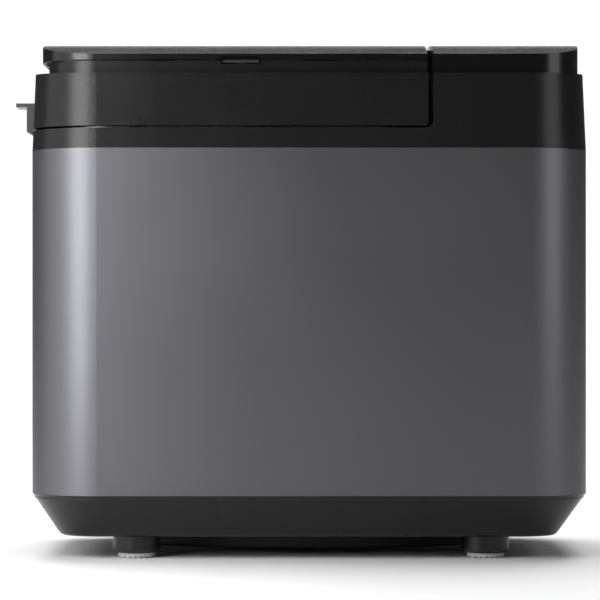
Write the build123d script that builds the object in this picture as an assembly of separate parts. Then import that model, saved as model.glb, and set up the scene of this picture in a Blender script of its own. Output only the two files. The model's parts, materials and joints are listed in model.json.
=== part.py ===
from build123d import *

import os
from math import cos, radians, sin

# Millimetres. +X is the front (control panel) end, -Y the near side, +Z up.
# The origin is the centre of the bounding box, on the plane the pads stand on.

# Plan of the body
X_REAR = -186.0
X_NOSE = 204.0
HALF_WIDTH = 122.5
REAR_R = 48.0
NOSE_R = 46.0
NOSE_BOW = 7.0
MID_X = (X_REAR + X_NOSE) / 2

# Levels
PAD_TOP = 3.0
COVER_BOTTOM = 4.0
BASE_BOTTOM = 15.0
BASE_FLOOR = 18.0
SHELL_BOTTOM = 44.3
SHELL_TOP = 282.8
DECK_BOTTOM = 287.5
DECK_TOP = 290.0
COLLAR_TOP = 296.6
LID_BOTTOM = 298.1
SHOULDER_CREST = 337.6
NECK_TOP = 343.3
PLATE_BOTTOM = 343.9
TOP = 362.0

# Upper section
UPPER_DRAFT = 2.2 / 51.4
SHOULDER_R = 2200.0
CROWN_R = 470.0
WALL = 2.4
SEAM_LID = 89.3
SEAM_HOUSING = 92.7
SEAM_INNER_R = 5.5
SEAM_OUTER_R = 2.5
SEAM_RIB_X = 90.6
SEAM_RIB_Y = (-60.0, 0.0, 60.0)
NECK_REAR = -173.9
NECK_HALF = 112.5
NECK_R = 34.0
PLATE_REAR = -178.6
PLATE_FRONT = 89.0
PLATE_HALF = 114.5
PLATE_R = 38.0
PLATE_WALL = 2.5
REAR_BEVEL = (7.5, 2.4)
PANEL_REAR = 93.2
PANEL_NOSE = 198.0
PANEL_R = 32.0
PANEL_BOW = 6.0

# Base and feet
BASE_INSET = 20.0
BASE_WALL = 2.8
BASE_ROUND = 5.5
FOOT_X = (-112.7, 130.7)
FOOT_Y = 82.5
FOOT_R = 16.5
PAD_R = 13.0
PAD_STEM_R = 4.0
PAD_RIDGE_PITCH = 3.8
COVER_A = 122.0
COVER_B = 65.0
POSTS = ((-112.0, -72.0), (-112.0, 72.0), (160.0, -72.0), (160.0, 72.0))
POST_R = 6.0

# Shell
SHELL_T = 1.2
REAR_PANEL_HALF = 72.0
LIP_GAP = 0.2
LIP_T = 1.8
LIP_H = 6.0
GLAND_Y = 60.0
GLAND_Z = 66.0
GLAND_BORE_R = 3.6
GLAND_BODY_R = 6.5

# Lid hinge
HINGE_X = -190.0
HINGE_Z = 302.5
HINGE_PIN_R = 1.5
HINGE_BORE_R = 1.56
EAR_R = 3.9
EAR_Y = (26.0, 34.0)
EAR_POCKET_R = 11.0
BLOCK_HALF = 38.0
PIN_COVER = 3.0
BLOCK_REAR = -193.8
BLOCK_BOTTOM = 298.5
BLOCK_TOP = 319.0
LIP_REAR = -204.0
LIP_HALF = 12.0
LIP_Z = (318.9, 321.6)

# Dispenser lid hinge, on the far side
TOP_HINGE_Y = 113.5
TOP_HINGE_Z = 344.5
TOP_PIN_R = 1.0
TOP_BORE_R = 1.05
TOP_KNUCKLE_R = 2.4
TOP_POCKET_R = 2.95
TOP_HINGE_X = (-105.0, 15.0)
TOP_KNUCKLE_HALF = 7.0
TOP_EAR_GAP = 0.4
TOP_EAR_LEN = 6.0

# Finger notch and latch
NOTCH_X = (-53.0, -25.5)
NOTCH_Z = (341.0, 346.0)
NOTCH_IN = -106.0
LATCH_X = (-51.6, -27.0)
LATCH_Z = (342.0, 343.8)
LATCH_Y = (-111.6, -108.6)

# Dispensers: x0, x1, y0, y1 of each box's hollow
NUT = (-136.0, -24.0, 12.0, 54.0)
YEAST = (-6.0, 40.0, 28.0, 54.0)
BOX_T = 1.5
BOX_BOTTOM = 316.0
BOX_FLANGE_TOP = 344.8
FLAP_Z = (313.9, 315.7)
FLAP_AXIS_Y = 58.8
FLAP_AXIS_Z = 316.8
FLAP_KNUCKLE_R = 1.8
FLAP_PIN_R = 0.9
FLAP_BORE_R = 0.96
MAGNET_R = 4.0
MAGNET_Z = (316.2, 333.0)

# Chamber
CHAMBER = (-150.0, 60.0, -90.0, 90.0)
CHAMBER_R = 20.0
CHAMBER_T = 1.0
CHAMBER_FLOOR = 71.0
MOUTH = (-146.0, 56.0, -86.0, 86.0)
LINER_FLANGE_Z = (297.5, 298.5)
LINER_CEILING_Z = (312.5, 313.5)

# Pan
PAN_X = -45.0
PAN_BOTTOM = 90.0
PAN_RIM = 226.0
PAN_TOP_X = 85.0
PAN_TOP_Y = 65.0
PAN_DRAFT = 6.0
PAN_T = 1.5
HANDLE_Z = 232.0
HANDLE_REACH = 62.0
HANDLE_SPAN = 92.5
HANDLE_R = 2.5
HANDLE_PIN_R = 2.0
HANDLE_BORE_R = 2.08

# Drive
MOTOR_X = 135.0
CHASSIS_Z = (56.0, 58.0)
MAIN_SHAFT_R = 5.0
MAIN_BORE_R = 5.05
PAN_SHAFT_R = 4.0
PAN_BORE_R = 4.05
BIG_R = 55.0
SMALL_R = 10.0
BELT_T = 2.0
BELT_GAP = 0.06
BELT_Z = (29.0, 37.0)
PULLEY_Z = (27.0, 39.0)

# Heater and sensor
HEATER_Z = 95.0
HEATER_R = 3.25
HEATER_IN = 10.0
SENSOR_Y = 30.0
SENSOR_Z = 120.0

# Control panel fittings
BOARD_Z = (341.0, 342.6)
WINDOW = (132.0, 164.0, -36.0, 36.0)
# name, x, y, radius
BUTTONS = (
    ("button_start", 148.0, 72.0, 11.0),
    ("button_menu", 134.0, -58.0, 6.5),
    ("button_size", 162.0, -58.0, 6.5),
    ("button_colour", 148.0, -84.0, 6.5),
    ("button_plus", 162.0, 50.0, 6.5),
    ("button_minus", 134.0, 50.0, 6.5),
)
BUTTON_GAP = 0.25
BUTTON_TRAVEL = 1.0


def block(x0, x1, y0, y1, z0, z1):
    """Upright box between two opposite corners."""
    middle = Pos((x0 + x1) / 2, (y0 + y1) / 2, (z0 + z1) / 2)
    return middle * Box(x1 - x0, y1 - y0, z1 - z0)


def post(x, y, z0, z1, r):
    """Upright cylinder."""
    return Pos(x, y, (z0 + z1) / 2) * Cylinder(r, z1 - z0)


def bar_x(y, z, x0, x1, r):
    """Cylinder lying along X."""
    return Pos((x0 + x1) / 2, y, z) * Rot(0, 90, 0) * Cylinder(r, x1 - x0)


def bar_y(x, z, y0, y1, r):
    """Cylinder lying along Y."""
    return Pos(x, (y0 + y1) / 2, z) * Rot(90, 0, 0) * Cylinder(r, y1 - y0)


def prism(face, z0, z1):
    """Straight solid on a plan face."""
    return Pos(0, 0, z0) * extrude(face, z1 - z0)


def rounded(x0, x1, y0, y1, r):
    """Rounded rectangle in plan."""
    return Pos((x0 + x1) / 2, (y0 + y1) / 2) * RectangleRounded(x1 - x0, y1 - y0, r)


def d_plan(rear, nose, half, rear_r, nose_r, bow):
    """Plan with a bowed front end."""
    cheek = nose - bow
    sides = Polyline((cheek, -half), (rear, -half), (rear, half), (cheek, half))
    front = ThreePointArc((cheek, half), (nose, 0), (cheek, -half))
    face = make_face(sides.edges() + front.edges())
    if nose_r:
        face = fillet(face.vertices().sort_by(Axis.X)[-2:], nose_r)
    if rear_r:
        face = fillet(face.vertices().sort_by(Axis.X)[:2], rear_r)
    return face


def plan(inset):
    """Outline of the body, inset all round."""
    return d_plan(
        X_REAR + inset,
        X_NOSE - inset,
        HALF_WIDTH - inset,
        REAR_R - inset,
        NOSE_R - inset,
        NOSE_BOW,
    )


def tapered(lower, z0, upper, z1):
    """Straight-sided solid between two plan faces."""
    return loft([Pos(0, 0, z0) * lower, Pos(0, 0, z1) * upper], ruled=True)


def crown(crest, r):
    """Solid below a cylinder that lies along X."""
    return Pos(0, 0, crest - r) * Rot(0, 90, 0) * Cylinder(r, 900)


def upper_body(inset, drop):
    """The drafted upper section as a full solid, with its crowned shoulder."""
    high = 342.0
    shrink = UPPER_DRAFT * (high - SHELL_TOP)
    sides = tapered(plan(inset), SHELL_TOP, plan(inset + shrink), high)
    return sides & crown(SHOULDER_CREST - drop, SHOULDER_R - drop)


def neck_plan(inset):
    """Outline of the neck under the dispenser lid."""
    rear = NECK_REAR + inset
    front = PLATE_FRONT - inset
    half = NECK_HALF - inset
    face = rounded(rear, front + 60, -half, half, NECK_R - inset)
    return face - Pos(front + 50, 0) * Rectangle(100, 300)


def plate_plan(inset):
    """Outline of the dispenser lid."""
    rear = PLATE_REAR + inset
    front = PLATE_FRONT - inset
    half = PLATE_HALF - inset
    face = rounded(rear, front + 60, -half, half, PLATE_R - inset)
    return face - Pos(front + 50, 0) * Rectangle(100, 300)


def panel_plan(inset):
    """Outline of the control panel block."""
    return d_plan(
        PANEL_REAR + inset,
        PANEL_NOSE - inset,
        PLATE_HALF - inset,
        0,
        PANEL_R - inset,
        PANEL_BOW,
    )


def make_outer_shell():
    """Painted sheet wrapped round the sides and the front, open at the rear."""
    wrap = prism(plan(0), SHELL_BOTTOM, SHELL_TOP)
    wrap -= prism(plan(SHELL_T), SHELL_BOTTOM - 1, SHELL_TOP + 1)
    return wrap - block(X_REAR - 5, X_REAR + 5, -REAR_PANEL_HALF, REAR_PANEL_HALF, 0, 400)


def make_rear_panel():
    """Flat rear sheet with the cord hole and two groups of louvres."""
    half = REAR_PANEL_HALF - 0.3
    sheet = block(X_REAR, X_REAR + SHELL_T, -half, half, SHELL_BOTTOM, SHELL_TOP)
    sheet -= bar_x(GLAND_Y, GLAND_Z, X_REAR - 5, X_REAR + 5, GLAND_BODY_R + 0.1)
    for row in range(5):
        z = 225.0 + 8.0 * row
        sheet -= block(X_REAR - 5, X_REAR + 5, -60, -20, z, z + 3)
        sheet -= block(X_REAR - 5, X_REAR + 5, 20, 60, z, z + 3)
    return sheet


def make_base():
    """Tapered base tray with feet, chassis posts and a lip inside the shell."""
    outer = tapered(plan(BASE_INSET), BASE_BOTTOM, plan(0), SHELL_BOTTOM)
    rim = outer.edges().filter_by_position(Axis.Z, BASE_BOTTOM - 0.1, BASE_BOTTOM + 0.1)
    outer = fillet(rim, BASE_ROUND)
    slope = BASE_INSET / (SHELL_BOTTOM - BASE_BOTTOM)
    low = BASE_INSET - slope * (BASE_FLOOR - BASE_BOTTOM) + BASE_WALL + 1.0
    high = BASE_WALL - slope * 4
    inner = tapered(plan(low), BASE_FLOOR, plan(high), SHELL_BOTTOM + 4)
    tray = outer - inner
    lip = prism(plan(SHELL_T + LIP_GAP), SHELL_BOTTOM - 3, SHELL_BOTTOM + LIP_H)
    lip -= prism(plan(SHELL_T + LIP_GAP + LIP_T), SHELL_BOTTOM - 4, SHELL_BOTTOM + LIP_H + 1)
    tray += lip & tapered(plan(0.5), SHELL_BOTTOM - 3, plan(0.5), SHELL_BOTTOM + LIP_H)
    tray -= prism(Pos(MID_X, 0) * Ellipse(COVER_A - 14, COVER_B - 11), 10, 20)
    for x in FOOT_X:
        for y in (-FOOT_Y, FOOT_Y):
            foot = post(x, y, PAD_TOP, BASE_BOTTOM + 1, FOOT_R)
            lowest = foot.edges().sort_by(Axis.Z)[0]
            foot = chamfer(lowest, 2.4, 4.3 - 1.2)
            tray += foot
            tray -= post(x, y, PAD_TOP - 1, PAD_TOP + 5.5, PAD_STEM_R + 0.1)
    for x, y in POSTS:
        tray += post(x, y, BASE_FLOOR - 1, CHASSIS_Z[0], POST_R)
        tray -= post(x, y, 36, CHASSIS_Z[0] + 1, 1.8)
    for x, y in cover_screw_places():
        tray += post(x, y, BASE_BOTTOM + 1, 27, 4.5)
        tray -= post(x, y, BASE_BOTTOM - 1, 24, 1.5)
    return tray


def cover_screw_places():
    """Four screw positions on the bottom cover's rim."""
    reach_x = COVER_A - 7
    reach_y = COVER_B - 5.5
    return [
        (MID_X - reach_x, 0),
        (MID_X + reach_x, 0),
        (MID_X, -reach_y),
        (MID_X, reach_y),
    ]


def make_pad(x, y):
    """Rubber pad with a ridged underside and a stem that plugs into the foot."""
    pad = post(x, y, 0, PAD_TOP, PAD_R) + post(x, y, PAD_TOP - 0.5, PAD_TOP + 5, PAD_STEM_R)
    count = 7
    for index in range(count):
        middle = x + (index - (count - 1) / 2) * PAD_RIDGE_PITCH
        groove = Polyline((-0.9, -0.1), (-0.3, 1.0), (0.3, 1.0), (0.9, -0.1), close=True)
        cut = extrude(Plane.XZ * make_face(groove), PAD_R, both=True)
        pad -= Pos(middle, y, 0) * cut
    return pad


def make_bottom_cover():
    """Flat elliptical dish under the base, with cooling slots."""
    dish = prism(Pos(MID_X, 0) * Ellipse(COVER_A, COVER_B), COVER_BOTTOM, BASE_BOTTOM)
    rim = dish.edges().sort_by(Axis.Z)[0]
    dish = fillet(rim, 2.0)
    dish -= prism(Pos(MID_X, 0) * Ellipse(COVER_A - 12, COVER_B - 11), COVER_BOTTOM + 2, 20)
    for column in range(-5, 6):
        x = MID_X + 14.0 * column
        dish -= block(x - 2, x + 2, -26, 26, 0, 10)
    for x, y in cover_screw_places():
        dish -= post(x, y, 0, 20, 1.7)
        dish -= post(x, y, 0, 11.2, 3.2)
    return dish


def make_upper_housing():
    """Collar round the top, deck with the chamber mouth, and the panel housing."""
    full = upper_body(0, 0)
    collar = full & block(-210, 210, -130, 130, 280, COLLAR_TOP)
    housing = full & block(SEAM_HOUSING, 210, -130, 130, 280, 345)
    corner = block(
        SEAM_HOUSING - SEAM_INNER_R, SEAM_HOUSING, -130, 130, COLLAR_TOP, COLLAR_TOP + SEAM_INNER_R
    )
    corner -= bar_y(
        SEAM_HOUSING - SEAM_INNER_R, COLLAR_TOP + SEAM_INNER_R, -130, 130, SEAM_INNER_R
    )
    outer = collar + housing + (corner & full)
    hollow = upper_body(WALL, WALL)
    wall = block(SEAM_HOUSING, SEAM_HOUSING + WALL, -130, 130, DECK_TOP, 345)
    seam_fill = block(SEAM_HOUSING - 6, SEAM_HOUSING, -130, 130, DECK_TOP, 345)
    outer -= hollow - wall - (seam_fill & full & block(80, 100, -130, 130, COLLAR_TOP - 2, 303))
    deck = prism(plan(1.5), DECK_BOTTOM, DECK_TOP)
    mouth = rounded(MOUTH[0], MOUTH[1], MOUTH[2], MOUTH[3], 22)
    deck -= prism(mouth, DECK_BOTTOM - 1, DECK_TOP + 1)
    deck -= prism(rounded(104, 186, -92, 92, 20), DECK_BOTTOM - 1, DECK_TOP + 1)
    outer += deck
    lip = prism(plan(SHELL_T + LIP_GAP), SHELL_TOP - LIP_H, SHELL_TOP + 0.5)
    lip -= prism(plan(SHELL_T + LIP_GAP + LIP_T), SHELL_TOP - LIP_H - 1, SHELL_TOP + 1)
    outer += lip
    outer -= prism(panel_plan(4.4), 320, 345) & block(SEAM_HOUSING + WALL, 210, -130, 130, 320, 345)
    for y in SEAM_RIB_Y:
        outer += block(SEAM_RIB_X, SEAM_HOUSING + 1, y - 2, y + 2, COLLAR_TOP - 1, 335)
    for side in (-1, 1):
        low, high = sorted((side * EAR_Y[0], side * EAR_Y[1]))
        outer += lid_ear(low, high)
        outer -= bar_y(HINGE_X, HINGE_Z, low - 1, high + 1, HINGE_BORE_R)
    return outer


def lid_ear(y0, y1):
    """Ear that rises from the collar and carries the lid pin."""
    eye = Pos(HINGE_X, HINGE_Z) * Circle(EAR_R)
    root = Pos(-181.5, 294) * Rectangle(5, 3)
    arm = make_hull(eye.edges() + root.edges())
    return Pos(0, y1, 0) * extrude(Plane.XZ * arm, y1 - y0)


def make_control_panel():
    """Glossy crowned block on the panel housing, with its window and button holes."""
    panel = prism(panel_plan(0), 330, 366) & crown(TOP, CROWN_R)
    panel -= prism(panel_plan(PLATE_WALL), 320, 366) & crown(TOP - PLATE_WALL, CROWN_R - PLATE_WALL)
    panel -= upper_body(0, 0)
    tongue = prism(panel_plan(4.6), 329, 340) - prism(panel_plan(6.4), 328, 341)
    ledge = prism(panel_plan(1.5), 338.2, 341) - prism(panel_plan(6.4), 328, 342)
    panel += tongue + ledge
    panel -= block(WINDOW[0], WINDOW[1], WINDOW[2], WINDOW[3], 345, 370)
    for _, x, y, r in BUTTONS:
        guide = post(x, y, 352, 362, r + 2) & crown(TOP - 1, CROWN_R - 1)
        panel += guide
        panel -= post(x, y, 340, 370, r)
    for x, y in BOARD_POSTS:
        panel += post(x, y, BOARD_Z[1], 360, 3) & crown(TOP - 1, CROWN_R - 1)
    rest = block(WINDOW[0] - 3, WINDOW[1] + 3, WINDOW[2] - 3, WINDOW[3] + 3, 354, 360)
    rest -= block(WINDOW[0] + 2, WINDOW[1] - 2, WINDOW[2] + 2, WINDOW[3] - 2, 350, 370)
    rest &= crown(TOP - 2, CROWN_R - 2)
    panel += rest
    for y in SEAM_RIB_Y:
        rib = block(SEAM_RIB_X, PANEL_REAR + 1, y - 2, y + 2, 338.5, 366)
        panel += rib & crown(TOP - 3, CROWN_R - 3)
    return panel


BOARD_POSTS = ((112.0, -96.0), (112.0, 96.0), (182.0, -70.0), (182.0, 70.0))


def make_display_window():
    """Clear window, flush with the crown."""
    sheet = block(
        WINDOW[0] + 0.15, WINDOW[1] - 0.15, WINDOW[2] + 0.15, WINDOW[3] - 0.15, 350, 370
    )
    return (sheet & crown(TOP, CROWN_R)) - crown(TOP - 2, CROWN_R - 2)


def make_display_module():
    """Display cell and its frame, standing on the board."""
    frame = block(WINDOW[0] + 3, WINDOW[1] - 3, WINDOW[2] + 4, WINDOW[3] - 4, BOARD_Z[1], 355)
    return frame - block(WINDOW[0] + 5, WINDOW[1] - 5, WINDOW[2] + 6, WINDOW[3] - 6, 344, 353)


def make_control_board():
    """Board under the panel with one switch under each button."""
    board = block(104, 188, -102, 102, BOARD_Z[0], BOARD_Z[1])
    for x, y in BOARD_POSTS:
        board -= post(x, y, 340, 344, 1.5)
    for _, x, y, _ in BUTTONS:
        board += block(x - 3, x + 3, y - 3, y + 3, BOARD_Z[1], 345.6)
        board += post(x, y, 345.6, 346.4, 1.7)
    return board & prism(panel_plan(8), 330, 366)


def make_button(x, y, r):
    """Button cap, flush with the crown, with a stem that stops just above its switch."""
    cap = post(x, y, 353, 370, r - BUTTON_GAP) & crown(TOP, CROWN_R)
    return cap + post(x, y, 346.4 + BUTTON_TRAVEL + 0.1, 354, 2.0)


def make_power_board():
    """Upright mains board with its transformer, relay and capacitors."""
    board = block(74, 75.6, -62, 62, 62, 150)
    parts = block(75.6, 96, -40, -12, 110, 138)
    parts += block(75.6, 91, 10, 30, 112, 130)
    for y in (-46, -30, 36, 52):
        parts += bar_x(y, 84, 75.6, 92, 6)
    for y in (-52, 54):
        parts += block(70, 76, y - 4, y + 4, CHASSIS_Z[1], 70)
    return board + parts


def make_cord_gland():
    """Flush cord bush through the rear wall with its nut inside."""
    bush = bar_x(GLAND_Y, GLAND_Z, X_REAR, X_REAR + 14, GLAND_BODY_R)
    bush += bar_x(GLAND_Y, GLAND_Z, X_REAR + SHELL_T, X_REAR + 5, GLAND_BODY_R + 4)
    return bush - bar_x(GLAND_Y, GLAND_Z, X_REAR - 1, X_REAR + 20, GLAND_BORE_R)


def make_chassis():
    """Plate that carries the chamber, the bearing and the motor."""
    plate = prism(rounded(-125, 178, -86, 86, 12), CHASSIS_Z[0], CHASSIS_Z[1])
    plate -= post(PAN_X, 0, 50, 60, 14)
    plate -= post(MOTOR_X, 0, 50, 60, 12)
    for x, y in POSTS:
        plate -= post(x, y, 50, 60, 2.2)
    for x in (-130 + 20, 40):
        for y in (-55, 55):
            plate += post(x, y, CHASSIS_Z[1] - 0.5, CHASSIS_FEET_TOP, 6)
    for x, y in motor_screw_places():
        plate += post(x, y, CHASSIS_Z[1] - 0.5, 62, 5)
        plate -= post(x, y, 50, 66, 1.5)
    for y in (-30, 30):
        plate -= block(-20, 60, y - 6, y + 6, 50, 60)
    return plate


CHASSIS_FEET_TOP = CHAMBER_FLOOR - CHAMBER_T


def motor_screw_places():
    """Corners of the motor's fixing square."""
    return [(MOTOR_X + dx, dy) for dx in (-28, 28) for dy in (-28, 28)]


def make_chamber():
    """Open-topped baking chamber with a flange under the deck."""
    x0, x1, y0, y1 = CHAMBER
    t = CHAMBER_T
    top = DECK_BOTTOM
    tub = prism(rounded(x0 - t, x1 + t, y0 - t, y1 + t, CHAMBER_R + t), CHAMBER_FLOOR - t, top)
    tub += prism(rounded(x0 - 9, x1 + 9, y0 - 9, y1 + 9, CHAMBER_R + 9), top - t, top)
    tub -= prism(rounded(x0, x1, y0, y1, CHAMBER_R), CHAMBER_FLOOR, top + 1)
    tub -= post(PAN_X, 0, 60, 80, 15)
    for y in (-12, 12):
        tub -= bar_x(y, HEATER_Z, 50, 70, HEATER_R + 0.3)
    tub -= bar_x(SENSOR_Y, SENSOR_Z, 50, 70, 5.2)
    return tub


def make_pan_seat():
    """Ring on the chamber floor that the pan foot stands in."""
    ring = post(PAN_X, 0, CHAMBER_FLOOR, 84, 48) - post(PAN_X, 0, 60, 90, 45)
    flange = post(PAN_X, 0, CHAMBER_FLOOR, CHAMBER_FLOOR + 1.5, 58)
    flange -= post(PAN_X, 0, 60, 90, 20)
    seat = ring + flange
    for turn in range(4):
        angle = 45 + 90 * turn
        x = PAN_X + 53 * cos(radians(angle))
        y = 53 * sin(radians(angle))
        seat -= post(x, y, 60, 90, 1.8)
    return seat


def make_bearing_housing():
    """Flanged tube that holds the main shaft."""
    tube = post(PAN_X, 0, 42, 72, 13) + post(PAN_X, 0, CHASSIS_Z[1], 61.5, 28)
    return tube - post(PAN_X, 0, 40, 75, MAIN_BORE_R)


def make_main_shaft():
    """Steel shaft from the large pulley to the coupler."""
    return post(PAN_X, 0, 24, 76, MAIN_SHAFT_R)


def make_drive_coupler():
    """Disc with two upright dogs on top of the main shaft."""
    coupler = post(PAN_X, 0, 72.6, 76.5, 15)
    dogs = post(PAN_X, 0, 76, 84, 15) - post(PAN_X, 0, 70, 90, 8.6)
    dogs &= block(PAN_X - 4, PAN_X + 4, -20, 20, 70, 90)
    coupler += dogs
    return coupler - post(PAN_X, 0, 70, 76, MAIN_SHAFT_R)


def make_pulley(x, groove_r, shaft_r, spokes):
    """Flanged flat-belt pulley."""
    low, high = PULLEY_Z
    pulley = post(x, 0, BELT_Z[0] - 0.3, BELT_Z[1] + 0.3, groove_r)
    pulley += post(x, 0, low, BELT_Z[0] - 0.2, groove_r + 3)
    pulley += post(x, 0, BELT_Z[1] + 0.2, high, groove_r + 3)
    for index in range(spokes):
        angle = 360 / spokes * index
        hole = Pos(x, 0, 33) * Rot(0, 0, angle) * Pos(groove_r * 0.58, 0, 0)
        pulley -= hole * Cylinder(groove_r * 0.2, 30)
    return pulley - post(x, 0, 20, 50, shaft_r)


def make_belt():
    """Flat belt round both pulleys."""
    inner = BELT_GAP
    outer = BELT_GAP + BELT_T
    big = Pos(PAN_X, 0)
    small = Pos(MOTOR_X, 0)
    outline = make_hull(
        (big * Circle(BIG_R + outer)).edges() + (small * Circle(SMALL_R + outer)).edges()
    )
    hole = make_hull(
        (big * Circle(BIG_R + inner)).edges() + (small * Circle(SMALL_R + inner)).edges()
    )
    return prism(outline, BELT_Z[0], BELT_Z[1]) - prism(hole, BELT_Z[0] - 1, BELT_Z[1] + 1)


def make_motor_stator():
    """Laminated square stack with a round bore and winding slots."""
    stack = prism(rounded(MOTOR_X - 33, MOTOR_X + 33, -33, 33, 5), 76, 104)
    stack -= post(MOTOR_X, 0, 70, 110, 18)
    for turn in range(4):
        slot = Pos(MOTOR_X, 0, 90) * Rot(0, 0, 45 + 90 * turn) * Pos(22.5, 0, 0)
        stack -= slot * Box(11, 14, 40)
    for x, y in motor_screw_places():
        stack -= post(x, y, 70, 110, 2.2)
    return stack


def make_motor_coils():
    """Four windings through the slots of the stack."""
    coils = Part()
    for turn in range(4):
        place = Pos(MOTOR_X, 0, 90) * Rot(0, 0, 45 + 90 * turn) * Pos(22.6, 0, 0)
        coils += place * Box(9, 12, 44)
    ring = post(MOTOR_X, 0, 104.5, 112, 28) - post(MOTOR_X, 0, 100, 115, 19.5)
    ring += post(MOTOR_X, 0, 68, 75.5, 28) - post(MOTOR_X, 0, 60, 80, 19.5)
    return coils + ring


def make_motor_brackets():
    """End brackets with the rotor's two bearings, joined by four spacers."""
    low = prism(rounded(MOTOR_X - 33, MOTOR_X + 33, -33, 33, 5), 62, 64.5)
    high = prism(rounded(MOTOR_X - 33, MOTOR_X + 33, -33, 33, 5), 114, 116.5)
    low += post(MOTOR_X, 0, 58.5, 67, 9)
    high += post(MOTOR_X, 0, 113, 120, 9)
    both = low + high
    for x, y in motor_screw_places():
        both += post(x, y, 64, 76, 4)
        both += post(x, y, 104, 115, 4)
        both -= post(x, y, 55, 120, 1.8)
    return both - post(MOTOR_X, 0, 50, 130, 4.05)


def make_rotor():
    """Rotor core on its shaft."""
    return post(MOTOR_X, 0, 77, 103, 17.6) + post(MOTOR_X, 0, 25, 132, 4)


def make_motor_fan():
    """Radial fan on top of the motor shaft."""
    fan = post(MOTOR_X, 0, 121.5, 123, 30) + post(MOTOR_X, 0, 121.5, 130, 8)
    for index in range(9):
        vane = Pos(MOTOR_X, 0, 126) * Rot(0, 0, 40 * index) * Pos(18, 0, 0)
        fan += vane * Box(23, 1.4, 7)
    return fan - post(MOTOR_X, 0, 110, 140, 4)


def make_screws():
    """Identical pan-head screws: four hold the chassis, four the motor."""
    screws = Part()
    for x, y in POSTS:
        screws += post(x, y, CHASSIS_Z[1], 60.4, 3.6) + post(x, y, 40, CHASSIS_Z[1] + 0.2, 1.7)
    return screws


def make_cover_screws():
    """Identical countersunk screws in the bottom cover."""
    screws = Part()
    for x, y in cover_screw_places():
        screws += post(x, y, 8.9, 11.2, 2.9) + post(x, y, 11, 23, 1.4)
    return screws


def make_heater():
    """Tubular element round the foot of the chamber, with two tails."""
    x0, x1, y0, y1 = CHAMBER
    a = x0 + HEATER_IN
    b = x1 - HEATER_IN
    c = y0 + HEATER_IN
    d = y1 - HEATER_IN
    path = FilletPolyline(
        (x1 + 8, -12, HEATER_Z),
        (b, -12, HEATER_Z),
        (b, c, HEATER_Z),
        (a, c, HEATER_Z),
        (a, d, HEATER_Z),
        (b, d, HEATER_Z),
        (b, 12, HEATER_Z),
        (x1 + 8, 12, HEATER_Z),
        radius=8,
    )
    start = Plane(origin=path @ 0, z_dir=path % 0)
    return sweep(start * Circle(HEATER_R), path=path)


def make_heater_clips():
    """Identical clips that hold the element off the wall."""
    x0, x1, y0, y1 = CHAMBER
    clips = Part()
    gap = HEATER_R + 0.15
    for x in (-100, 10):
        for side in (-1, 1):
            wall = side * 90.0
            tube = side * (90.0 - HEATER_IN)
            low, high = sorted((wall, tube - side * 6))
            clip = block(x - 5, x + 5, low, high, HEATER_Z - 5, HEATER_Z + 5)
            clip -= bar_x(tube, HEATER_Z, x - 9, x + 9, gap)
            clip -= block(x - 9, x + 9, tube - 20, tube + 20, HEATER_Z - 1.2, HEATER_Z + 1.2) & (
                block(x - 9, x + 9, min(tube, tube - side * 20), max(tube, tube - side * 20), 0, 200)
            )
            clips += clip
    return clips


def make_sensor_holder():
    """Sleeve through the chamber wall that guides the sensor tip."""
    sleeve = bar_x(SENSOR_Y, SENSOR_Z, 50, 72, 5) + bar_x(SENSOR_Y, SENSOR_Z, 61, 64, 9)
    sleeve -= bar_x(SENSOR_Y, SENSOR_Z, 49, 70, 3.05)
    return sleeve - bar_x(SENSOR_Y, SENSOR_Z, 69, 80, 1.3)


def make_sensor_tip():
    """Sprung probe that rests against the pan."""
    face = PAN_X + PAN_TOP_X - PAN_DRAFT * (PAN_RIM - SENSOR_Z) / (PAN_RIM - PAN_BOTTOM)
    return bar_x(SENSOR_Y, SENSOR_Z, face + 0.6, 64, 3.0)


def pan_body(inset, z0, z1):
    """Drafted pan solid."""
    span = PAN_RIM - PAN_BOTTOM
    low = PAN_DRAFT * (PAN_RIM - z0) / span
    high = PAN_DRAFT * (PAN_RIM - z1) / span
    faces = []
    for shrink in (low, high):
        a = PAN_TOP_X - inset - shrink
        b = PAN_TOP_Y - inset - shrink
        faces.append(Pos(PAN_X, 0) * RectangleRounded(2 * a, 2 * b, 28 - inset - shrink))
    return tapered(faces[0], z0, faces[1], z1)


def make_bread_pan():
    """Drafted pan with a rolled rim and a handle ear at each end."""
    pan = pan_body(0, PAN_BOTTOM, PAN_RIM)
    pan += prism(
        Pos(PAN_X, 0) * RectangleRounded(2 * PAN_TOP_X + 7, 2 * PAN_TOP_Y + 7, 30), PAN_RIM - 2, PAN_RIM
    )
    pan -= pan_body(PAN_T, PAN_BOTTOM + PAN_T, PAN_RIM + 2)
    for side in (-1, 1):
        ear_x = PAN_X + side * 87.0
        low = ear_x - 1.0
        high = ear_x + 1.0
        ear = block(low, high, -9, 9, PAN_RIM - 1, HANDLE_Z)
        ear += bar_x(0, HANDLE_Z, low, high, 6)
        ear += block(low, high, -6, 6, HANDLE_Z - 3, HANDLE_Z)
        pan += ear
        pan -= bar_x(0, HANDLE_Z, low - 1, high + 1, HANDLE_BORE_R)
    return pan - post(PAN_X, 0, 80, 95, 11)


def make_pan_foot():
    """Cast ring under the pan with the shaft bush in its middle."""
    foot = post(PAN_X, 0, 72.7, PAN_BOTTOM, 43) - post(PAN_X, 0, 60, PAN_BOTTOM - 2, 39)
    foot += post(PAN_X, 0, 85.5, 96, 10.9)
    return foot - post(PAN_X, 0, 60, 100, PAN_BORE_R)


def make_pan_shaft():
    """Flatted shaft through the pan bottom."""
    shaft = post(PAN_X, 0, 77.5, 116, PAN_SHAFT_R)
    return shaft - block(PAN_X + 2.6, PAN_X + 6, -6, 6, 97, 120)


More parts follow.
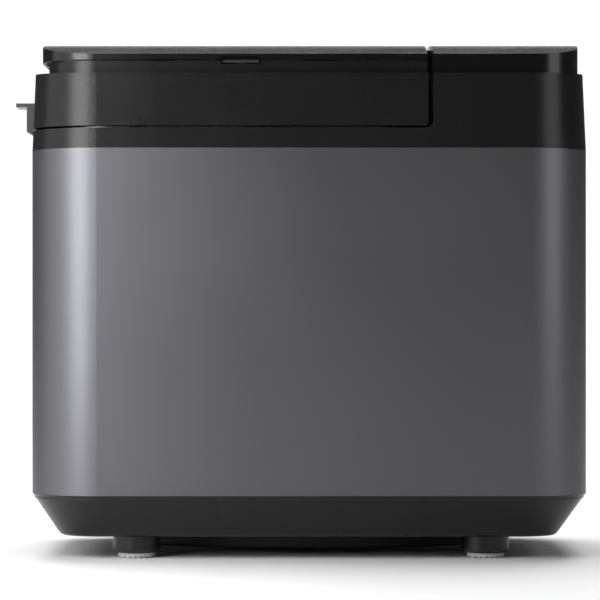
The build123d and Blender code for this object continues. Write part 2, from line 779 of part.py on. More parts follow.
def make_pan_coupling():
    """Wing on the lower end of the pan shaft, between the dogs."""
    wing = block(PAN_X - 13, PAN_X + 13, -3.5, 3.5, 77.5, 84)
    wing += post(PAN_X, 0, 77.5, 84.8, 7)
    return wing - post(PAN_X, 0, 70, 90, PAN_SHAFT_R)


def make_kneading_blade():
    """Paddle with a blind flatted bore."""
    hub = post(PAN_X, 0, 96.6, 121, 8)
    fin = Polyline((0, 92.6), (46, 92.6), (50, 97), (44, 110), (26, 128), (8, 128), (0, 120), close=True)
    paddle = extrude(Plane.XZ * make_face(fin), 2.2, both=True)
    clear = post(PAN_X, 0, 80, 96.6, 12.0)
    blade = hub + Pos(PAN_X, 0, 0) * paddle - clear
    bore = post(PAN_X, 0, 90, 116.4, PAN_SHAFT_R + 0.08)
    bore -= block(PAN_X + 2.68, PAN_X + 8, -8, 8, 97.1, 130)
    return blade - bore


def make_pan_handle():
    """Wire bail: two arms, a crossbar, and inward ends through the ears."""
    z = HANDLE_Z
    bend = 9.0
    path = FilletPolyline(
        (PAN_X - HANDLE_SPAN, 0, z),
        (PAN_X - HANDLE_SPAN, -HANDLE_REACH, z),
        (PAN_X + HANDLE_SPAN, -HANDLE_REACH, z),
        (PAN_X + HANDLE_SPAN, 0, z),
        radius=bend,
    )
    start = Plane(origin=path @ 0, z_dir=path % 0)
    bail = sweep(start * Circle(HANDLE_R), path=path)
    for side in (-1, 1):
        outer = PAN_X + side * (HANDLE_SPAN + 1.9)
        eye_low, eye_high = sorted((PAN_X + side * 88.6, outer))
        bail += bar_x(0, z, eye_low, eye_high, 3.4)
        low, high = sorted((PAN_X + side * 84.6, PAN_X + side * HANDLE_SPAN))
        bail += bar_x(0, z, low, high, HANDLE_PIN_R)
    return bail


def make_lid_cover():
    """Lid skirt and neck in one moulding, with openings for both boxes."""
    full = upper_body(0, 0)
    skirt = full & block(-210, SEAM_LID, -130, 130, LID_BOTTOM, 345)
    edge = (
        skirt.edges()
        .filter_by(Axis.Y)
        .filter_by_position(Axis.X, SEAM_LID - 0.1, SEAM_LID + 0.1)
        .filter_by_position(Axis.Z, LID_BOTTOM - 0.1, LID_BOTTOM + 0.1)
    )
    skirt = fillet(edge, SEAM_OUTER_R)
    hollow = upper_body(WALL, WALL) & block(-210, SEAM_LID - WALL, -130, 130, 290, 345)
    cover = skirt + prism(neck_plan(0), 332, NECK_TOP)
    cover -= hollow
    cover -= prism(neck_plan(WALL), 325, NECK_TOP - 2.5)
    for x0, x1, y0, y1 in (NUT, YEAST):
        grow = BOX_T + 0.2
        cover -= block(x0 - grow, x1 + grow, y0 - grow, y1 + grow, 335, 350)
    for x in (-159, -45, 69):
        for y in (-101.8, 101.8):
            cover += post(x, y, LINER_FLANGE_Z[1], NECK_TOP - 1, 4)
    for index in range(-4, 5):
        y = 14.0 * index
        cover -= block(NECK_REAR - 5, NECK_REAR + 5, y - 5, y + 5, 338.4, 340.4)
    for side in (-1, 1):
        low, high = sorted((side * (EAR_Y[0] - 0.6), side * (EAR_Y[1] + 0.6)))
        cover -= bar_y(HINGE_X, HINGE_Z, low, high, EAR_POCKET_R)
    for x in TOP_HINGE_X:
        pocket = TOP_KNUCKLE_HALF + TOP_EAR_GAP
        for side in (-1, 1):
            low, high = sorted((x + side * pocket, x + side * (pocket + TOP_EAR_LEN)))
            cover += bar_x(TOP_HINGE_Y, TOP_HINGE_Z, low, high, TOP_KNUCKLE_R)
            cover += block(low, high, NECK_HALF - 2, TOP_HINGE_Y + 1.6, 338, TOP_HINGE_Z - 0.5)
        cover -= bar_x(TOP_HINGE_Y, TOP_HINGE_Z, x - pocket, x + pocket, TOP_POCKET_R)
        far = pocket + TOP_EAR_LEN + 1
        cover -= bar_x(TOP_HINGE_Y, TOP_HINGE_Z, x - far, x + far, TOP_PIN_R)
    return cover + notch_pocket() - notch_cut()


def notch_pocket():
    """Floor and back of the finger notch, under the neck's top."""
    return block(NOTCH_X[0] - 1.6, NOTCH_X[1] + 1.6, -NECK_HALF + 1, NOTCH_IN + 1.8, 338.9, NECK_TOP)


def notch_cut():
    """Space of the notch in the neck, with the latch stem's slot."""
    cut = block(NOTCH_X[0], NOTCH_X[1], -130, NOTCH_IN, NOTCH_Z[0], 350)
    cut += block(-42.4, -36.2, -112, -94.2, 341.0, 350)
    return cut


def rear_bevel_cutter():
    """Space above the slope on the plate's rear top edge."""
    length, drop = REAR_BEVEL
    outline = Polyline(
        (PLATE_REAR - 5, TOP - drop),
        (PLATE_REAR, TOP - drop),
        (PLATE_REAR + length, TOP),
        (PLATE_REAR + length, TOP + 5),
        (PLATE_REAR - 5, TOP + 5),
        close=True,
    )
    return Pos(0, 130, 0) * extrude(Plane.XZ * make_face(outline), 260)


def make_dispenser_lid():
    """Glossy crowned plate with a wall all round and two hinge knuckles."""
    plate = prism(plate_plan(0), PLATE_BOTTOM, 366) & crown(TOP, CROWN_R)
    inner = prism(plate_plan(PLATE_WALL), 340, 366)
    plate -= inner & crown(TOP - PLATE_WALL, CROWN_R - PLATE_WALL)
    plate -= rear_bevel_cutter()
    guard = block(
        NOTCH_X[0] - 1.6, NOTCH_X[1] + 1.6, -PLATE_HALF + 1, NOTCH_IN + 1.8, PLATE_BOTTOM, NOTCH_Z[1] + 1.8
    )
    plate += guard
    plate -= block(NOTCH_X[0], NOTCH_X[1], -130, NOTCH_IN, 330, NOTCH_Z[1])
    plate -= block(-43, -35.6, -108, -100, 330, NOTCH_Z[1] - 1.0)
    for x in TOP_HINGE_X:
        half = TOP_KNUCKLE_HALF
        plate += bar_x(TOP_HINGE_Y, TOP_HINGE_Z, x - half, x + half, TOP_KNUCKLE_R)
        plate -= bar_x(TOP_HINGE_Y, TOP_HINGE_Z, x - 20, x + 20, TOP_BORE_R)
        for side in (-1, 1):
            near = half
            far = half + TOP_EAR_LEN + 2 * TOP_EAR_GAP
            low, high = sorted((x + side * near, x + side * far))
            plate -= bar_x(TOP_HINGE_Y, TOP_HINGE_Z, low, high, TOP_POCKET_R)
            plate -= block(low, high, TOP_HINGE_Y - 0.2, 130, 340, TOP_HINGE_Z)
    return plate


def make_dispenser_pins():
    """Identical steel pins of the dispenser lid's two hinges."""
    pins = Part()
    half = TOP_KNUCKLE_HALF + TOP_EAR_GAP + TOP_EAR_LEN
    for x in TOP_HINGE_X:
        pins += bar_x(TOP_HINGE_Y, TOP_HINGE_Z, x - half, x + half, TOP_PIN_R)
    return pins


def make_dispenser_latch():
    """Push bar in the notch with a stem and an upright catch behind it."""
    bar = block(LATCH_X[0], LATCH_X[1], LATCH_Y[0], LATCH_Y[1], LATCH_Z[0], LATCH_Z[1])
    stem = block(-41.9, -36.7, LATCH_Y[1] - 0.5, -98.6, 341.4, 343.2)
    catch = block(-41.9, -36.7, -100.4, -98.6, 341.4, 347.0)
    return bar + stem + catch


def make_box(hollow, lug_x):
    """Open-bottomed dispenser box with a top flange, flap lugs and a magnet bracket."""
    x0, x1, y0, y1 = hollow
    t = BOX_T
    box = block(x0 - t, x1 + t, y0 - t, y1 + t, BOX_BOTTOM, BOX_FLANGE_TOP)
    box += block(x0 - 5, x1 + 5, y0 - 5, y1 + 5, NECK_TOP, BOX_FLANGE_TOP)
    box -= block(x0, x1, y0, y1, BOX_BOTTOM - 1, BOX_FLANGE_TOP + 1)
    for low in (x0 + 3, x1 - 7):
        lug = block(low, low + 4, y1 + t - 0.5, FLAP_AXIS_Y, FLAP_AXIS_Z - 0.5, FLAP_AXIS_Z + 6)
        lug += bar_x(FLAP_AXIS_Y, FLAP_AXIS_Z, low, low + 4, FLAP_KNUCKLE_R)
        lug += block(low, low + 4, FLAP_AXIS_Y - 1, FLAP_AXIS_Y + 1.8, FLAP_AXIS_Z, FLAP_AXIS_Z + 6)
        lug -= bar_x(FLAP_AXIS_Y, FLAP_AXIS_Z, low - 1, low + 5, FLAP_BORE_R)
        box += lug
    box += block(x1 + t - 0.3, lug_x + 4, y0 + 2, y0 + 10, MAGNET_Z[1], MAGNET_Z[1] + 2)
    return box


def make_flap(hollow, lug_x):
    """Drop flap with two knuckles, a pin through the lugs and a steel tab."""
    x0, x1, y0, y1 = hollow
    flap = block(x0 - 2, x1 + 2, y0 - 2, FLAP_AXIS_Y - 2.3, FLAP_Z[0], FLAP_Z[1])
    flap += block(x1, lug_x + 4, y0 + 1, y0 + 11, FLAP_Z[0], FLAP_Z[1])
    for low in (x0 + 7.3, x1 - 11.3):
        flap += bar_x(FLAP_AXIS_Y, FLAP_AXIS_Z, low, low + 4, FLAP_KNUCKLE_R)
        flap += block(low, low + 4, FLAP_AXIS_Y - 2.6, FLAP_AXIS_Y + 0.3, FLAP_Z[0], FLAP_AXIS_Z)
    flap += bar_x(FLAP_AXIS_Y, FLAP_AXIS_Z, x0 + 2.4, x0 + 8, FLAP_PIN_R)
    flap += bar_x(FLAP_AXIS_Y, FLAP_AXIS_Z, x1 - 8, x1 - 2.4, FLAP_PIN_R)
    return flap


def make_flap_magnets():
    """Identical holding magnets, one above the tab of each flap."""
    magnets = post(NUT[1] + 9, NUT[2] + 6, MAGNET_Z[0], MAGNET_Z[1], MAGNET_R)
    magnets += post(YEAST[1] + 8, YEAST[2] + 6, MAGNET_Z[0], MAGNET_Z[1], MAGNET_R)
    return magnets


def make_lid_liner():
    """Dished sheet under the lid with the flap openings and steam holes."""
    low, high = LINER_FLANGE_Z
    under, over = LINER_CEILING_Z
    outer = tapered(rounded(-157, 67, -97, 97, 28), low, rounded(-148, 58, -88, 88, 20), over)
    inner = tapered(
        rounded(-156, 66, -96, 96, 27), low, rounded(-147.6, 57.6, -87.6, 87.6, 19.6), over
    )
    inner &= block(-200, 200, -130, 130, low - 1, under)
    liner = outer + prism(rounded(-166, 76, -106, 106, 34), low, high)
    liner -= inner
    liner -= block(NUT[0] - 5, NUT[1] + 5, NUT[2] - 5, 63.5, 305, 320)
    liner -= block(NUT[1] - 2, NUT[1] + 16, NUT[2] - 3, NUT[2] + 13, 305, 320)
    liner -= block(YEAST[0] - 4, YEAST[1] + 5, YEAST[2] - 5, 63.5, 305, 320)
    liner -= block(YEAST[1] - 2, YEAST[1] + 16, YEAST[2] - 2, YEAST[2] + 14, 305, 320)
    for index in range(-3, 4):
        liner -= post(-120, 12.0 * index - 40, 305, 320, 2.5)
    return liner


def make_lid_gasket():
    """Soft ring that meets the deck round the chamber mouth."""
    ring = prism(rounded(-163, 73, -103, 103, 32), 290.4, LINER_FLANGE_Z[0])
    return ring - prism(rounded(-157, 67, -97, 97, 26), 289, 300)


def make_hinge_block():
    """Rear hinge block with its lip."""
    body = block(BLOCK_REAR, X_REAR + 3, -BLOCK_HALF, BLOCK_HALF, BLOCK_BOTTOM, BLOCK_TOP)
    edge = body.edges().filter_by(Axis.Y).sort_by(Axis.Z)[:2].sort_by(Axis.X)[0]
    body = fillet(edge, 1.6)
    body += block(LIP_REAR, X_REAR + 3, -LIP_HALF, LIP_HALF, LIP_Z[0], LIP_Z[1])
    for side in (-1, 1):
        low, high = sorted((side * (EAR_Y[0] - 0.6), side * (EAR_Y[1] + 0.6)))
        body -= bar_y(HINGE_X, HINGE_Z, low, high, EAR_POCKET_R)
    body -= upper_body(0, 0)
    return body - bar_y(HINGE_X, HINGE_Z, -BLOCK_HALF + PIN_COVER, BLOCK_HALF + 1, HINGE_PIN_R)


def make_hinge_pin():
    """Steel pin of the lid hinge, driven in from the far side."""
    return bar_y(HINGE_X, HINGE_Z, -BLOCK_HALF + PIN_COVER, BLOCK_HALF - 1, HINGE_PIN_R)


def all_parts():
    """Name and shape of every piece."""
    pieces = {
        "outer_shell": make_outer_shell(),
        "rear_panel": make_rear_panel(),
        "base": make_base(),
        "bottom_cover": make_bottom_cover(),
        "upper_housing": make_upper_housing(),
        "control_panel": make_control_panel(),
        "display_window": make_display_window(),
        "display_module": make_display_module(),
        "control_board": make_control_board(),
        "power_board": make_power_board(),
        "cord_gland": make_cord_gland(),
        "chassis": make_chassis(),
        "chamber": make_chamber(),
        "pan_seat": make_pan_seat(),
        "bearing_housing": make_bearing_housing(),
        "main_shaft": make_main_shaft(),
        "drive_coupler": make_drive_coupler(),
        "main_pulley": make_pulley(PAN_X, BIG_R, MAIN_SHAFT_R, 6),
        "motor_pulley": make_pulley(MOTOR_X, SMALL_R, 4.0, 0),
        "drive_belt": make_belt(),
        "motor_stator": make_motor_stator(),
        "motor_coils": make_motor_coils(),
        "motor_brackets": make_motor_brackets(),
        "rotor": make_rotor(),
        "motor_fan": make_motor_fan(),
        "chassis_screws": make_screws(),
        "cover_screws": make_cover_screws(),
        "heater": make_heater(),
        "heater_clips": make_heater_clips(),
        "sensor_holder": make_sensor_holder(),
        "sensor_tip": make_sensor_tip(),
        "bread_pan": make_bread_pan(),
        "pan_foot": make_pan_foot(),
        "pan_shaft": make_pan_shaft(),
        "pan_coupling": make_pan_coupling(),
        "kneading_blade": make_kneading_blade(),
        "pan_handle": make_pan_handle(),
        "lid_cover": make_lid_cover(),
        "lid_liner": make_lid_liner(),
        "lid_gasket": make_lid_gasket(),
        "hinge_block": make_hinge_block(),
        "hinge_pin": make_hinge_pin(),
        "dispenser_lid": make_dispenser_lid(),
        "dispenser_pins": make_dispenser_pins(),
        "dispenser_latch": make_dispenser_latch(),
        "nut_box": make_box(NUT, NUT[1] + 9),
        "yeast_box": make_box(YEAST, YEAST[1] + 8),
        "nut_flap": make_flap(NUT, NUT[1] + 9),
        "yeast_flap": make_flap(YEAST, YEAST[1] + 8),
        "flap_magnets": make_flap_magnets(),
    }
    for index, (x, y) in enumerate([(x, y) for x in FOOT_X for y in (-FOOT_Y, FOOT_Y)], 1):
        pieces[f"pad_{index}"] = make_pad(x, y)
    for name, x, y, r in BUTTONS:
        pieces[name] = make_button(x, y, r)
    return pieces


os.makedirs("parts", exist_ok=True)
for node, shape in all_parts().items():
    export_step(shape, f"parts/{node}.step")
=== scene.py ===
import json
import math

import bpy
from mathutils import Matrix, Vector


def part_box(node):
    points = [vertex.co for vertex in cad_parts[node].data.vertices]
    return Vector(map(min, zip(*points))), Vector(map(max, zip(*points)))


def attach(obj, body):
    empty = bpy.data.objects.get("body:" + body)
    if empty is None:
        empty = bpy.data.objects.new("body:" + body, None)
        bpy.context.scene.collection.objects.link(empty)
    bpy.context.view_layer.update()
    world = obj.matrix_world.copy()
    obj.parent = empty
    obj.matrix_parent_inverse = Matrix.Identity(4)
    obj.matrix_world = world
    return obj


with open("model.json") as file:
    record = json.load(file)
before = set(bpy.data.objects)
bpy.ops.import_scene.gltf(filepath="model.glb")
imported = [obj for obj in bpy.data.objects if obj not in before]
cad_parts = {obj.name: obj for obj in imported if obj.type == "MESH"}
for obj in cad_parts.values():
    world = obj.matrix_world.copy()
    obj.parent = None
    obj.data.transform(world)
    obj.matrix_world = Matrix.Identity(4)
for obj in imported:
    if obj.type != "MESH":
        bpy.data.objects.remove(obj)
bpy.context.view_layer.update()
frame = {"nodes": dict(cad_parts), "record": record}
NODES = frame["nodes"]


def colour(value):
    """sRGB hex to the linear colour a shader takes."""
    out = []
    for k in (1, 3, 5):
        c = int(value[k:k + 2], 16) / 255
        out.append(c / 12.92 if c <= 0.04045 else ((c + 0.055) / 1.055) ** 2.4)
    return (*out, 1.0)


def noise(tree, vector, scale, detail):
    """Noise read along a vector socket."""
    node = tree.nodes.new("ShaderNodeTexNoise")
    node.inputs["Scale"].default_value = scale
    node.inputs["Detail"].default_value = detail
    tree.links.new(vector, node.inputs["Vector"])
    return node.outputs["Fac"]


def mapping(tree, vector, scale, turn=0.0):
    """A vector socket stretched by scale and turned about Z."""
    node = tree.nodes.new("ShaderNodeMapping")
    node.inputs["Scale"].default_value = scale
    node.inputs["Rotation"].default_value = (0.0, 0.0, turn)
    tree.links.new(vector, node.inputs["Vector"])
    return node.outputs["Vector"]


def map_range(tree, value, source, target):
    """A value socket carried from the source range to the target range, and held within it."""
    node = tree.nodes.new("ShaderNodeMapRange")
    for key, number in zip(("From Min", "From Max", "To Min", "To Max"), (*source, *target)):
        node.inputs[key].default_value = number
    tree.links.new(value, node.inputs["Value"])
    return node.outputs["Result"]


def calculate(tree, operation, *sources):
    """A math node; each source is a socket or a plain float."""
    node = tree.nodes.new("ShaderNodeMath")
    node.operation = operation
    for k, source in enumerate(sources):
        if isinstance(source, float):
            node.inputs[k].default_value = source
        else:
            tree.links.new(source, node.inputs[k])
    return node.outputs["Value"]


def tinted(base, factor):
    """A base colour made darker or lighter by a factor."""
    return tuple(min(1.0, c * factor) for c in base[:3]) + (1.0,)


NOISE_SPAN = (0.3, 0.7)        # where most of a noise texture's values lie
SCRATCH_SPAN = (0.62, 0.75)    # only its peaks, so scratches are sparse
LEAST_ROUGH = 0.02
GRAIN_DEPTH = 0.0004


def finish(name, base, rough, metallic=0.0, grain=1500.0, bump=0.02, smudge=0.05, tint=0.06,
           coat=0.0, coat_rough=0.05, transmission=0.0, spec=0.5, stretch=(1, 1, 1), scratch=0.0,
           smudge_scale=22.0):
    """A procedural finish: fine grain in the surface, slow changes in roughness and tone."""
    material = bpy.data.materials.new(name)
    material.use_nodes = True
    tree = material.node_tree
    tree.nodes.clear()
    link = tree.links.new
    out = tree.nodes.new("ShaderNodeOutputMaterial")
    bsdf = tree.nodes.new("ShaderNodeBsdfPrincipled")
    link(bsdf.outputs["BSDF"], out.inputs["Surface"])
    bsdf.inputs["Metallic"].default_value = metallic
    bsdf.inputs["Specular IOR Level"].default_value = spec
    bsdf.inputs["Coat Weight"].default_value = coat
    bsdf.inputs["Coat Roughness"].default_value = coat_rough
    bsdf.inputs["Transmission Weight"].default_value = transmission

    place = tree.nodes.new("ShaderNodeTexCoord").outputs["Object"]
    slow = noise(tree, place, smudge_scale, 5.0)
    fine = noise(tree, mapping(tree, place, stretch), grain, 3.0)

    roughness = map_range(tree, slow, NOISE_SPAN, (max(LEAST_ROUGH, rough - smudge), rough + smudge))
    if scratch:
        lines = noise(tree, mapping(tree, place, (1.0, 14.0, 3.0), turn=0.6), 60.0, 8.0)
        scratches = map_range(tree, lines, SCRATCH_SPAN, (0.0, scratch))
        roughness = calculate(tree, "ADD", roughness, scratches)
    link(roughness, bsdf.inputs["Roughness"])

    base_rgb = colour(base)
    mix = tree.nodes.new("ShaderNodeMix")
    mix.data_type = "RGBA"
    mix.inputs["A"].default_value = tinted(base_rgb, 1 - tint)
    mix.inputs["B"].default_value = tinted(base_rgb, 1 + tint)
    half_slow = calculate(tree, "MULTIPLY", slow, 0.5)
    link(calculate(tree, "MULTIPLY_ADD", fine, 0.5, half_slow), mix.inputs["Factor"])
    link(mix.outputs["Result"], bsdf.inputs["Base Color"])

    surface = tree.nodes.new("ShaderNodeBump")
    surface.inputs["Strength"].default_value = bump
    surface.inputs["Distance"].default_value = GRAIN_DEPTH
    link(fine, surface.inputs["Height"])
    link(surface.outputs["Normal"], bsdf.inputs["Normal"])
    return material


FINISHES = {
    "silver_paint": finish("silver_paint", "#6a6a6f", 0.44, metallic=0.9, grain=2600, bump=0.05,
                           smudge=0.02, tint=0.035, smudge_scale=9.0),
    "black_satin": finish("black_satin", "#19191a", 0.27, grain=2200, bump=0.16, smudge=0.03, tint=0.12,
                          spec=0.36),
    "black_gloss": finish("black_gloss", "#0a0a0c", 0.24, grain=900, bump=0.006, smudge=0.025, tint=0.1,
                          coat=0.15, coat_rough=0.2, scratch=0.10),
    "black_matte": finish("black_matte", "#0c0c0d", 0.6, grain=1600, bump=0.3, smudge=0.06, tint=0.15),
    "pad_rubber": finish("pad_rubber", "#b4b4b0", 0.75, grain=1400, bump=0.35, smudge=0.08, tint=0.1),
    "window_clear": finish("window_clear", "#5c646c", 0.05, grain=700, bump=0.004, smudge=0.02,
                           transmission=0.85, scratch=0.08),
    "lcd_grey": finish("lcd_grey", "#8d9a86", 0.35, grain=1800, bump=0.03, smudge=0.04),
    "board_green": finish("board_green", "#1f5236", 0.38, grain=400, bump=0.15, smudge=0.08, tint=0.2),
    "galvanised": finish("galvanised", "#a9acae", 0.38, metallic=1.0, grain=120, bump=0.05, smudge=0.12,
                         tint=0.12, smudge_scale=60),
    "chamber_steel": finish("chamber_steel", "#b4b4b0", 0.33, metallic=1.0, grain=500, bump=0.08,
                            smudge=0.10, tint=0.08, stretch=(1, 1, 0.06)),
    "cast_aluminium": finish("cast_aluminium", "#9b9c9d", 0.5, metallic=0.95, grain=900, bump=0.4,
                             smudge=0.08, tint=0.1),
    "bright_steel": finish("bright_steel", "#c8c8c8", 0.16, metallic=1.0, grain=700, bump=0.02,
                           smudge=0.06, stretch=(0.1, 1, 1)),
    "dispenser_grey": finish("dispenser_grey", "#55565a", 0.4, grain=1500, bump=0.15, smudge=0.05),
    "coupler_steel": finish("coupler_steel", "#8f8f90", 0.42, metallic=1.0, grain=900, bump=0.2, smudge=0.1),
    "pulley_plastic": finish("pulley_plastic", "#d6d2c4", 0.45, grain=800, bump=0.1, smudge=0.06),
    "belt_rubber": finish("belt_rubber", "#161616", 0.7, grain=1200, bump=0.3, smudge=0.08),
    "lamination": finish("lamination", "#5d5f61", 0.5, metallic=0.8, grain=900, bump=0.5,
                         stretch=(0.05, 0.05, 1), smudge=0.1, tint=0.2),
    "copper_wire": finish("copper_wire", "#b2683c", 0.3, metallic=1.0, grain=700, bump=0.6,
                          stretch=(0.1, 0.1, 1), smudge=0.08, tint=0.2),
    "heater_steel": finish("heater_steel", "#4c4a47", 0.45, metallic=0.9, grain=600, bump=0.15,
                           smudge=0.12, tint=0.25),
    "nonstick": finish("nonstick", "#26262a", 0.32, grain=2400, bump=0.25, smudge=0.06, tint=0.15,
                       scratch=0.12),
    "gasket_rubber": finish("gasket_rubber", "#8d3f2f", 0.6, grain=1200, bump=0.2, smudge=0.08),
    "latch_grey": finish("latch_grey", "#3a3a3d", 0.22, grain=1500, bump=0.03, smudge=0.04, coat=0.3),
    "button_grey": finish("button_grey", "#37383b", 0.28, grain=1800, bump=0.06, smudge=0.05, coat=0.2),
}

SLOT_OF = {entry["node"]: entry["material_slot"] for entry in frame["record"]["subparts"]}
# Rounding of the corners that catch light in a thin line
EDGE_ANGLE = math.radians(35)
EDGE = {
    "outer_shell": 0.0003, "base": 0.0006, "upper_housing": 0.0007, "lid_cover": 0.0007,
    "dispenser_lid": 0.0007, "control_panel": 0.0007, "hinge_block": 0.0005,
    "dispenser_latch": 0.0003, "bottom_cover": 0.0005,
}
for node, obj in NODES.items():
    obj.data.materials.clear()
    obj.data.materials.append(FINISHES[SLOT_OF[node]])
    if node in EDGE:
        bevel = obj.modifiers.new("edge", "BEVEL")
        bevel.width = EDGE[node]
        bevel.segments = 2
        bevel.limit_method = "ANGLE"
        bevel.angle_limit = EDGE_ANGLE
        bevel.use_clamp_overlap = True
        bevel.harden_normals = False


def new_mesh(name, verts, faces, slot, body):
    """A mesh piece that rides a body and takes a slot's finish."""
    data = bpy.data.meshes.new(name)
    data.from_pydata([Vector(v) for v in verts], [], faces)
    data.update()
    obj = bpy.data.objects.new(name, data)
    bpy.context.scene.collection.objects.link(obj)
    data.materials.append(FINISHES[slot])
    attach(obj, body)


def slab_mesh(boxes):
    """Vertices and faces of several upright boxes."""
    verts, faces = [], []
    for (x0, y0, z0), (x1, y1, z1) in boxes:
        first = len(verts)
        verts += [(x0, y0, z0), (x1, y0, z0), (x1, y1, z0), (x0, y1, z0),
                  (x0, y0, z1), (x1, y0, z1), (x1, y1, z1), (x0, y1, z1)]
        for f in ((0, 3, 2, 1), (4, 5, 6, 7), (0, 1, 5, 4), (1, 2, 6, 5), (2, 3, 7, 6), (3, 0, 4, 7)):
            faces.append(tuple(first + k for k in f))
    return verts, faces


# Display digits, on the face of the cell inside the module's frame
SEGMENTS = {0: "abcdef", 1: "bc", 3: "abgcd"}
DIGIT_HIGH = 0.0125
DIGIT_WIDE = 0.0075
DIGIT_THICK = 0.00015
DIGIT_LIFT = 0.00002
DIGIT_INSET = 0.0065    # from the module's front edge
CELL_RECESS = 0.002     # the cell's face, below the frame's top
STROKE = 0.11           # of the digit's height
STROKE_GAP = 0.75       # of the stroke
DIGITS = ((3, -0.021), (1, 0.0), (0, 0.014))    # figure, and its Y from the middle
COLON_Y = -0.0075
COLON_SIZE = 0.0012
COLON_DROPS = (0.004, 0.0085)


def digit(number, x, y, z, high, wide):
    """Boxes of a seven-segment digit lying face up, read from the front end."""
    stroke = high * STROKE
    gap = stroke * STROKE_GAP
    # Each segment's span up the digit, then its span across
    parts = {
        "a": (high, high, 0, wide), "d": (0, 0, 0, wide), "g": (high / 2, high / 2, 0, wide),
        "f": (high / 2, high, 0, 0), "e": (0, high / 2, 0, 0),
        "b": (high / 2, high, wide, wide), "c": (0, high / 2, wide, wide),
    }
    out = []
    for key in SEGMENTS[number]:
        up0, up1, across0, across1 = parts[key]
        if up0 == up1:
            grow_up = stroke / 2
            grow_across = -gap
        else:
            grow_up = -gap
            grow_across = stroke / 2
        low_corner = (x - (up1 + grow_up), y + (across0 - grow_across), z)
        high_corner = (x - (up0 - grow_up), y + (across1 + grow_across), z + DIGIT_THICK)
        out.append((low_corner, high_corner))
    return out


low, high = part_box("display_module")
cell_z = high[2] - CELL_RECESS + DIGIT_LIFT
middle_y = (low[1] + high[1]) / 2
base_x = high[0] - DIGIT_INSET
shapes = []
for number, offset in DIGITS:
    shapes += digit(number, base_x, middle_y + offset, cell_z, DIGIT_HIGH, DIGIT_WIDE)
for drop in COLON_DROPS:
    dot_low = (base_x - drop - COLON_SIZE, middle_y + COLON_Y, cell_z)
    dot_high = (base_x - drop, middle_y + COLON_Y + COLON_SIZE, cell_z + DIGIT_THICK)
    shapes.append((dot_low, dot_high))
new_mesh("display_digits", *slab_mesh(shapes), "black_matte", "body")


# Key marks: thin slabs that stand a little over the caps and reach down into them
CROWN_R = 0.470         # the caps are flush with this crown
MARK_OVER = 0.00013
MARK_UNDER = 0.00025
CROSS_LIFT = 0.00001    # keeps the plus sign's second bar off the face of the first
START_HALF = 0.004
START_TIP = 0.0045
BAR_HALF_WIDTH = 0.0006
BAR_HALF_LENGTH = 0.0027
DOT_R = 0.0012
DOT_SIDES = 20
cad_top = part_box("dispenser_lid")[1][2]


def crown_z(y, lift):
    """Height of the crowned top at y, plus a lift."""
    return cad_top - CROWN_R + math.sqrt(CROWN_R * CROWN_R - y * y) + lift


def cap_mark(name, outline, body, lift=0.0):
    """Thin raised mark that follows the crown over a key's cap."""
    verts = [(x, y, crown_z(y, lift + MARK_OVER)) for x, y in outline]
    verts += [(x, y, crown_z(y, lift - MARK_UNDER)) for x, y in outline]
    n = len(outline)
    faces = [tuple(range(n)), tuple(reversed(range(n, 2 * n)))]
    for k in range(n):
        faces.append((k, n + k, n + (k + 1) % n, (k + 1) % n))
    new_mesh(name, verts, faces, "dispenser_grey", body)


def centre(node):
    """Middle of a node in plan."""
    a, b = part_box(node)
    return (a[0] + b[0]) / 2, (a[1] + b[1]) / 2


def bar(x, y, half_x, half_y):
    """Outline of a straight bar about a point."""
    return [(x - half_x, y - half_y), (x + half_x, y - half_y),
            (x + half_x, y + half_y), (x - half_x, y + half_y)]


def dot(x, y):
    """Outline of a round dot about a point."""
    angles = [2 * math.pi * k / DOT_SIDES for k in range(DOT_SIDES)]
    return [(x + DOT_R * math.cos(a), y + DOT_R * math.sin(a)) for a in angles]


x, y = centre("button_start")
arrow = [(x - START_HALF, y - START_HALF), (x + START_HALF, y - START_HALF), (x, y + START_TIP)]
cap_mark("mark_start", arrow, "button_start")
for node, crossed in (("button_plus", True), ("button_minus", False)):
    x, y = centre(node)
    cap_mark("mark_" + node, bar(x, y, BAR_HALF_WIDTH, BAR_HALF_LENGTH), node)
    if crossed:
        cap_mark("mark_" + node + "_b", bar(x, y, BAR_HALF_LENGTH, BAR_HALF_WIDTH), node, lift=CROSS_LIFT)
for node in ("button_menu", "button_size", "button_colour"):
    cap_mark("mark_" + node, dot(*centre(node)), node)


# Stage: pale floor just under the pads, and a bright backdrop behind
FLOOR_SIZE = 14
FLOOR_AT = (0, 3.5, -0.0002)
BACKDROP_AT = (0, 2.0, 0.4)
BACKDROP_SCALE = (1.0, 0.86, 1)
BACKDROP_GLOW = 1.05
WORLD_GLOW = 0.06
UPRIGHT = (math.radians(90), 0, 0)

bpy.ops.mesh.primitive_plane_add(size=FLOOR_SIZE, location=FLOOR_AT)
floor = bpy.context.object
floor.name = "stage_floor"
floor.data.materials.append(finish("floor", "#f4f4f4", 0.75, grain=60, bump=0.01, smudge=0.05, tint=0.01))


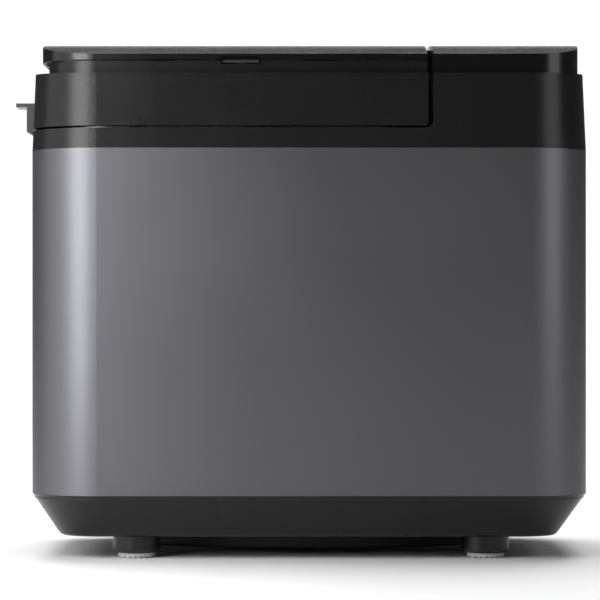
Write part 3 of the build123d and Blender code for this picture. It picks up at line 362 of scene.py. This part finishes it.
def glowing(name, strength):
    """Plain white emission."""
    material = bpy.data.materials.new(name)
    material.use_nodes = True
    tree = material.node_tree
    tree.nodes.clear()
    out = tree.nodes.new("ShaderNodeOutputMaterial")
    glow = tree.nodes.new("ShaderNodeEmission")
    glow.inputs["Color"].default_value = (1, 1, 1, 1)
    glow.inputs["Strength"].default_value = strength
    tree.links.new(glow.outputs["Emission"], out.inputs["Surface"])
    return material


bpy.ops.mesh.primitive_plane_add(size=1, location=BACKDROP_AT, rotation=UPRIGHT)
back = bpy.context.object
back.name = "stage_backdrop"
back.scale = BACKDROP_SCALE
back.data.materials.append(glowing("backdrop", BACKDROP_GLOW))


def area(name, place, target, watts, width, height):
    """Soft light aimed at a point."""
    data = bpy.data.lights.new(name, "AREA")
    data.shape = "RECTANGLE"
    data.size = width
    data.size_y = height
    data.energy = watts
    obj = bpy.data.objects.new(name, data)
    obj.location = place
    aim = Vector(target) - Vector(place)
    obj.rotation_euler = aim.to_track_quat("-Z", "Y").to_euler()
    bpy.context.scene.collection.objects.link(obj)


area("key_left", (-0.34, -0.43, 0.34), (-0.15, -0.08, 0.2), watts=2.7, width=0.22, height=0.55)
area("side_left", (-0.75, -0.28, 0.32), (-0.18, -0.06, 0.2), watts=1.5, width=0.7, height=0.7)
area("rim_right", (0.62, -0.42, 0.36), (0.18, -0.08, 0.2), watts=0.75, width=0.30, height=0.5)
area("overhead", (0.0, 1.0, 2.2), (0, 0.5, 0), watts=77.0, width=2.2, height=2.2)

world = bpy.data.worlds.new("studio")
bpy.context.scene.world = world
world.use_nodes = True
sky = world.node_tree.nodes["Background"]
sky.inputs["Color"].default_value = (1, 1, 1, 1)
sky.inputs["Strength"].default_value = WORLD_GLOW

cam_data = bpy.data.cameras.new("camera")
cam_data.lens = 175.4
cam_data.sensor_width = 36.0
cam_data.shift_x = -0.0185
cam_data.shift_y = 0.05
cam_data.clip_end = 50
camera = bpy.data.objects.new("camera", cam_data)
bpy.context.scene.collection.objects.link(camera)
camera.location = (0.009, -2.1225, 0.158)
camera.rotation_euler = UPRIGHT
bpy.context.scene.camera = camera

bpy.context.scene.view_settings.view_transform = "Standard"
